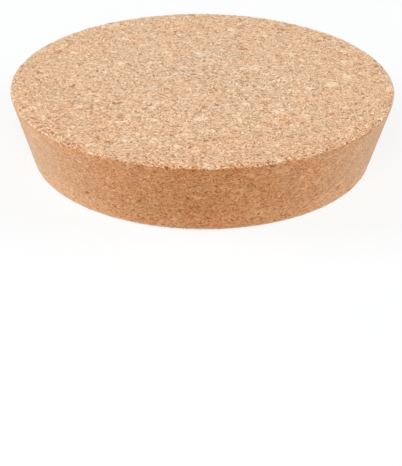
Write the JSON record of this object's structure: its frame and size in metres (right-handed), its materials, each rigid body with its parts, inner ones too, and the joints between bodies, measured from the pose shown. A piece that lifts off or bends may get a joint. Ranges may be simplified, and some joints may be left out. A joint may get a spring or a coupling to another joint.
{
  "type": "cork stopper",
  "caption": "Wide, shallow stopper of pressed cork granules, a tapered disc with flat ends and lightly eased edges, for the neck of a jar.",
  "frame": {"origin": "centre of the small end, which the stopper stands on", "axes": "+Z along the axis, from the small end to the large end"},
  "size_m": [0.0994, 0.0994, 0.02],
  "materials": {
    "pressed_cork": "raw pressed cork, sanded flat ends and a ground wall, matt"
  },
  "bodies": {
    "root": {"stopper": "pressed_cork"}
  },
  "joints": []
}
